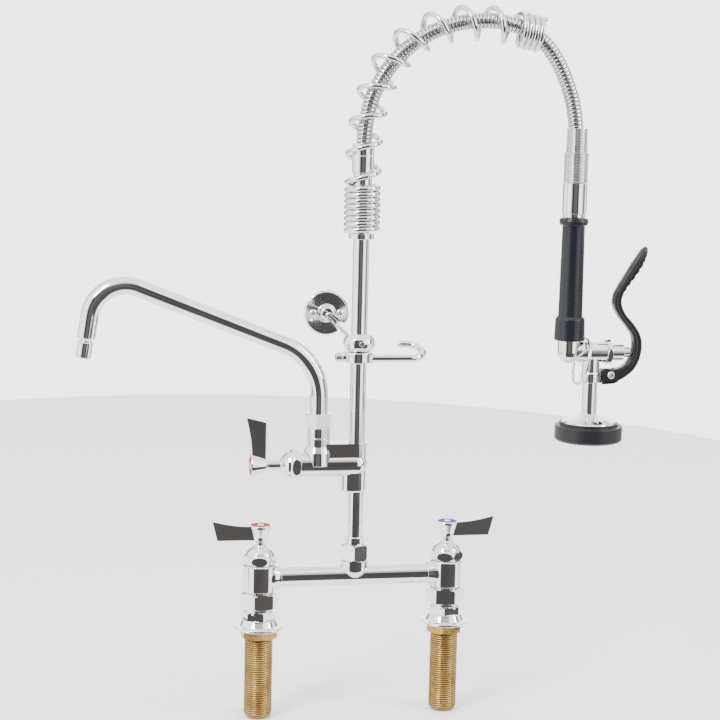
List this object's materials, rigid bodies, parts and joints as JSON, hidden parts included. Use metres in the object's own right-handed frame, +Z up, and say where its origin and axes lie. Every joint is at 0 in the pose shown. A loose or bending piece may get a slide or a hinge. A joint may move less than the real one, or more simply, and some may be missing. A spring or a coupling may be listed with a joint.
{
  "type": "pre rinse faucet",
  "caption": "Deck-mounted bridge pre-rinse faucet with lever valves, swing spout, riser with wall bracket, sprung hose arch and squeeze spray valve.",
  "frame": {"origin": "on the deck surface, midway between the two inlet shanks", "axes": "+X to the viewer's right along the bridge towards the cold valve, +Y back to the wall, +Z up along the riser"},
  "size_m": [0.6108, 0.2606, 0.7574],
  "materials": {
    "chrome_brass": "polished chrome plate on cast and drawn brass",
    "shank_brass": "machined bare brass",
    "nut_brass": "machined bare brass",
    "cartridge_brass": "machined bare brass",
    "washer_rubber": "black rubber",
    "stem_steel": "turned stainless steel",
    "screw_steel": "plated steel",
    "steel_wire": "bright drawn wire",
    "spring_steel": "bright drawn spring wire",
    "braided_steel": "flexible stainless steel hose cover",
    "hot_ring": "red plastic",
    "addon_ring": "red plastic",
    "cold_ring": "blue plastic",
    "grip_rubber": "smooth black moulded rubber",
    "relief_steel": "ribbed bright steel",
    "bumper_rubber": "black moulded rubber",
    "lever_plastic": "black coated lever",
    "spray_face_steel": "perforated stainless steel"
  },
  "bodies": {
    "deck_frame": {"hot_shank": "shank_brass", "cold_shank": "shank_brass", "hot_deck_flange": "chrome_brass", "cold_deck_flange": "chrome_brass", "hot_union_nut": "chrome_brass", "cold_union_nut": "chrome_brass", "hot_valve_body": "chrome_brass", "cold_valve_body": "chrome_brass", "hot_bonnet_nut": "chrome_brass", "cold_bonnet_nut": "chrome_brass", "valve_cartridges": "cartridge_brass", "lock_nuts": "nut_brass", "union_washers": "washer_rubber", "bridge_tube": "chrome_brass", "center_hub": "chrome_brass", "riser_nut": "chrome_brass", "lower_riser": "chrome_brass", "upper_riser": "chrome_brass", "addon_body": "chrome_brass", "addon_bonnet_nut": "chrome_brass", "spout_nut": "chrome_brass", "hose_hook": "chrome_brass", "riser_set_screws": "screw_steel", "bracket_clamp": "chrome_brass", "bracket_arm": "chrome_brass", "wall_flange": "chrome_brass", "wall_screws": "screw_steel", "spring_seat": "chrome_brass"},
    "hot_handle": {"hot_stem": "stem_steel", "hot_lever_handle": "chrome_brass", "hot_index_ring": "hot_ring", "hot_handle_screw": "screw_steel"},
    "cold_handle": {"cold_stem": "stem_steel", "cold_lever_handle": "chrome_brass", "cold_index_ring": "cold_ring", "cold_handle_screw": "screw_steel"},
    "addon_handle": {"addon_stem": "stem_steel", "addon_lever_handle": "chrome_brass", "addon_index_ring": "addon_ring", "addon_handle_screw": "screw_steel"},
    "spout": {"spout_tube": "chrome_brass", "spout_o_rings": "washer_rubber", "spout_outlet": "chrome_brass"},
    "arch": {"hose_upper_ferrule": "chrome_brass", "hose_spring": "spring_steel", "hose": "braided_steel"},
    "hose_end": {"strain_relief": "relief_steel", "hose_lower_ferrule": "chrome_brass"},
    "spray_valve": {"grip": "grip_rubber", "spray_body": "chrome_brass", "spray_bonnet": "chrome_brass", "plunger_spring": "steel_wire", "lever_screw": "screw_steel", "outlet_tube": "chrome_brass", "spray_dome": "chrome_brass", "spray_bumper": "bumper_rubber", "spray_face": "spray_face_steel"},
    "lever": {"squeeze_lever": "lever_plastic"},
    "plunger_rod": {"plunger": "stem_steel"},
    "ring": {"hold_ring": "steel_wire"}
  },
  "joints": [
    {"name": "hot_valve_turn", "type": "hinge", "parent": "deck_frame", "child": "hot_handle", "pos_m": [-0.1016, 0, 0.09], "axis": [0, 0, 1], "range_deg": [0, 90]},
    {"name": "cold_valve_turn", "type": "hinge", "parent": "deck_frame", "child": "cold_handle", "pos_m": [0.1016, 0, 0.09], "axis": [0, 0, -1], "range_deg": [0, 90]},
    {"name": "addon_valve_turn", "type": "hinge", "parent": "deck_frame", "child": "addon_handle", "pos_m": [-0.09, 0, 0.1759], "axis": [1, 0, 0], "range_deg": [0, 90]},
    {"name": "spout_swing", "type": "hinge", "parent": "deck_frame", "child": "spout", "pos_m": [-0.0415, 0, 0.22], "axis": [0, 0, 1], "range_deg": [-45, 130]},
    {"name": "arch_turn", "type": "hinge", "parent": "deck_frame", "child": "arch", "pos_m": [0, 0, 0.475], "axis": [0, 0, 1], "range_deg": [-90, 40]},
    {"name": "arch_pull", "type": "slide", "parent": "arch", "child": "hose_end", "axis": [0, 0, -1], "range_m": [-0.03, 0.12], "stiffness_N_per_m": 300, "springref_m": -0.02837, "deforming": ["hose", "hose_spring"]},
    {"name": "spray_swivel", "type": "hinge", "parent": "hose_end", "child": "spray_valve", "pos_m": [0.231, 0, 0.44], "axis": [0, 0, 1], "range_deg": [-90, 90]},
    {"name": "lever_squeeze", "type": "hinge", "parent": "spray_valve", "child": "lever", "pos_m": [0.2773, 0, 0.2706], "axis": [0, -1, 0], "range_deg": [0, 14], "stiffness_Nm_per_rad": 0.9, "springref_deg": -20.05},
    {"name": "plunger_push", "type": "slide", "parent": "spray_valve", "child": "plunger_rod", "axis": [-1, 0, 0], "range_m": [0, 0.006], "stiffness_N_per_m": 400, "springref_m": -0.006, "deforming": ["plunger_spring"]},
    {"name": "ring_swing", "type": "hinge", "parent": "spray_valve", "child": "ring", "pos_m": [0.2458, 0, 0.295], "axis": [1, 0, 0], "range_deg": [-35, 35]}
  ],
  "couplings": [
    {"joint": "plunger_push", "follows": "lever_squeeze", "m_per_rad": 0.0244}
  ]
}
